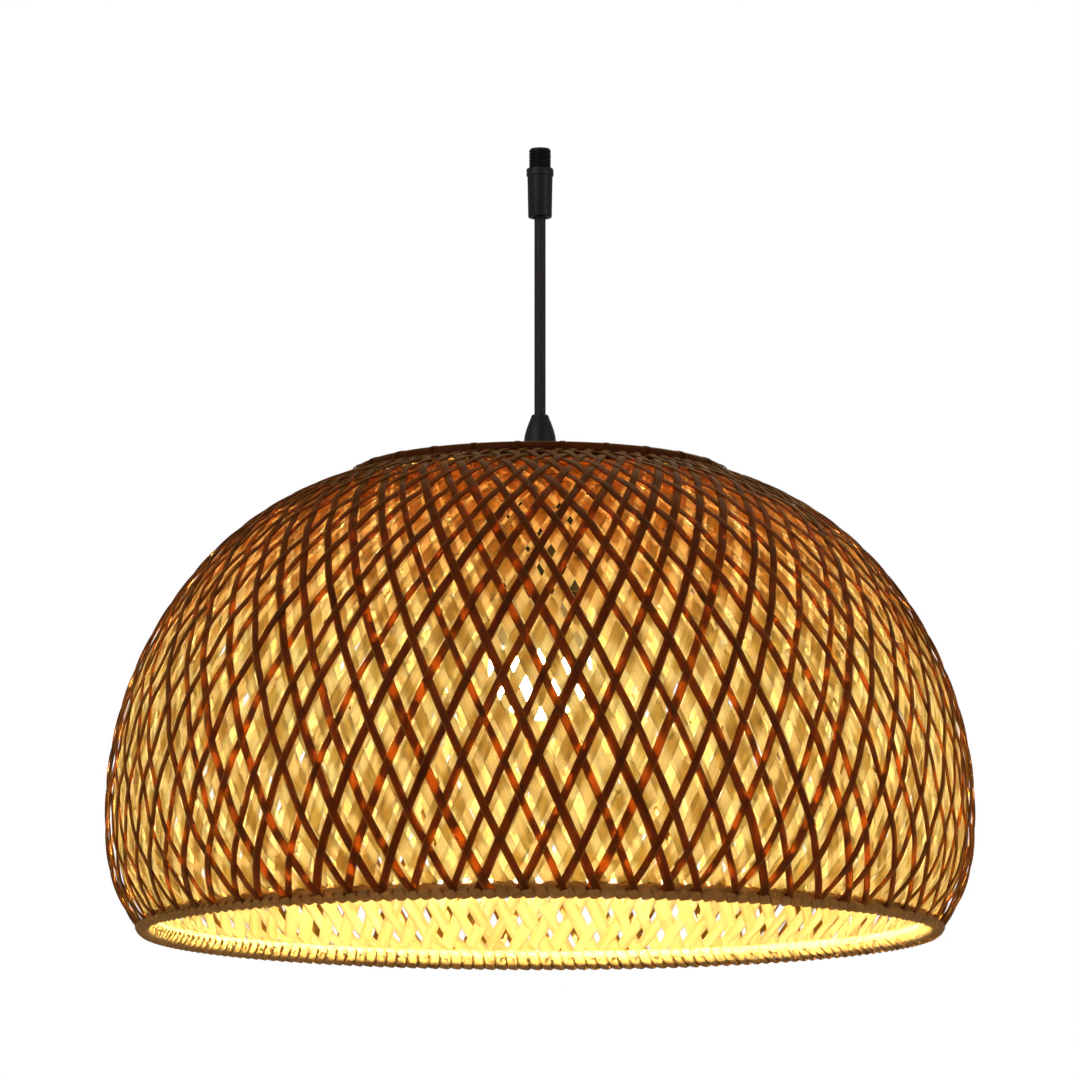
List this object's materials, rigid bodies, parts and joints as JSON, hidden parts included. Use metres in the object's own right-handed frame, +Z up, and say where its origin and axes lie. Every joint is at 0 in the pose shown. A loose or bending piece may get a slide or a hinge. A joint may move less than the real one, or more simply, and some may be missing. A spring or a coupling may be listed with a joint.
{
  "type": "lamp shade",
  "caption": "Hanging dome lamp shade of double woven split bamboo, carried by an E27 lampholder on a short black cord with a cord grip above and a bell-shaped strain relief on the crown.",
  "frame": {"origin": "on the vertical axis, at the shoulder of the cord grip, where its M10 x 1 stud goes into the lamp's arm", "axes": "+Z up along the cord and the shade's axis; X and Y are alike, and the cord swings about Y"},
  "size_m": [0.3796, 0.3796, 0.351],
  "materials": {
    "bamboo_dark": "split bamboo strips, smoked dark brown, satin",
    "bamboo_honey": "split bamboo strips, honey coloured, satin",
    "rattan": "peeled rattan, stained brown, satin",
    "black_plastic": "moulded black plastic, satin",
    "black_steel": "black powder coat",
    "cord_sheath": "black PVC sheath, matt",
    "brass": "bright brass",
    "steel": "zinc plated steel",
    "ceramic": "white glazed porcelain",
    "lead_brown": "brown PVC insulation",
    "lead_blue": "blue PVC insulation",
    "opal_diffuser": "opal polycarbonate, lit warm white",
    "white_plastic": "white moulded plastic",
    "circuit_board": "white solder mask",
    "led_phosphor": "yellow phosphor"
  },
  "bodies": {
    "hanger": {"cord_grip": "black_plastic", "grip_screw": "black_plastic", "cord_upper": "cord_sheath"},
    "cord": {"suspension_cord": "cord_sheath"},
    "pendant": {"strain_relief": "black_plastic", "strain_relief_screw": "black_plastic", "cord_lower": "cord_sheath", "shade_nipple": "steel", "lock_nut": "steel", "lampholder_cap": "black_plastic", "lampholder_body": "black_plastic", "lampholder_core": "ceramic", "screw_shell": "brass", "centre_contact": "brass", "terminal_screw_1": "brass", "terminal_screw_2": "brass", "lead_live": "lead_brown", "lead_neutral": "lead_blue"},
    "shade": {"outer_weave": "bamboo_dark", "inner_weave": "bamboo_honey", "crown_cap": "bamboo_dark", "crown_hoop_outer": "bamboo_dark", "crown_hoop_inner": "bamboo_dark", "rim_hoop": "rattan", "rim_binding": "rattan", "crown_plate_top": "black_steel", "crown_plate_under": "black_steel", "crown_rivet_1": "steel", "crown_rivet_2": "steel", "crown_rivet_3": "steel"},
    "bulb": {"bulb_diffuser": "opal_diffuser", "bulb_housing": "white_plastic", "led_board": "circuit_board", "led_1": "led_phosphor", "led_2": "led_phosphor", "led_3": "led_phosphor", "led_4": "led_phosphor", "led_5": "led_phosphor", "led_6": "led_phosphor", "driver_board": "circuit_board", "bulb_base": "steel", "bulb_insulator": "black_plastic", "bulb_tip": "brass"}
  },
  "joints": [
    {"name": "cord_swing", "type": "hinge", "parent": "hanger", "child": "cord", "pos_m": [0, 0, -0.022], "axis": [0, 1, 0], "range_deg": [-30, 30]},
    {"name": "shade_tilt", "type": "hinge", "parent": "cord", "child": "pendant", "pos_m": [0, 0, -0.1107], "axis": [1, 0, 0], "range_deg": [-20, 20]},
    {"name": "shade_turn", "type": "hinge", "parent": "pendant", "child": "shade", "pos_m": [0, 0, -0.1339], "axis": [0, 0, 1], "continuous": true},
    {"name": "bulb_unscrew", "type": "slide", "parent": "pendant", "child": "bulb", "axis": [0, 0, -1], "range_m": [0, 0.18]}
  ]
}
